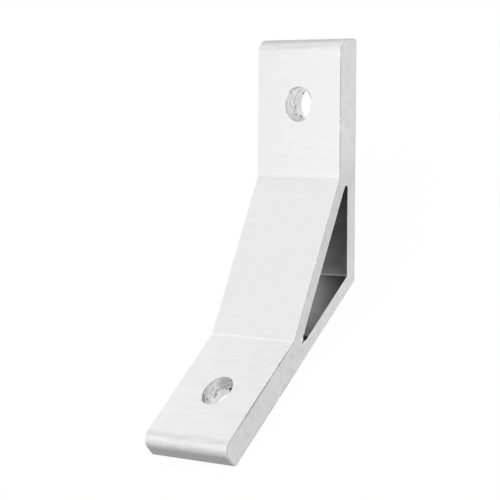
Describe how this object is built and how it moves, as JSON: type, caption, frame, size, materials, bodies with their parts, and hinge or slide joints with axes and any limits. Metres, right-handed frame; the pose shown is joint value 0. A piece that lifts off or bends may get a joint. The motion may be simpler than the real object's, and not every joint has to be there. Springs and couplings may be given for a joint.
{
  "type": "t slot corner bracket",
  "caption": "Open-angle corner bracket for slotted aluminium framing: drilled flat legs joined by a diagonal web over a hollow triangle.",
  "frame": {"origin": "on the corner edge where the two mating faces meet, halfway across the width", "axes": "+Z out of the foot through its bolt hole, away from the mating face; -Y along the foot to its end, with the arm rising towards +Y; X along the extrusion, between the sawn faces"},
  "size_m": [0.028, 0.1021, 0.0454],
  "materials": {
    "aluminium": "satin extruded faces, finely sawn ends and rough drilled holes"
  },
  "bodies": {
    "root": {"corner_bracket": "aluminium"}
  },
  "joints": []
}
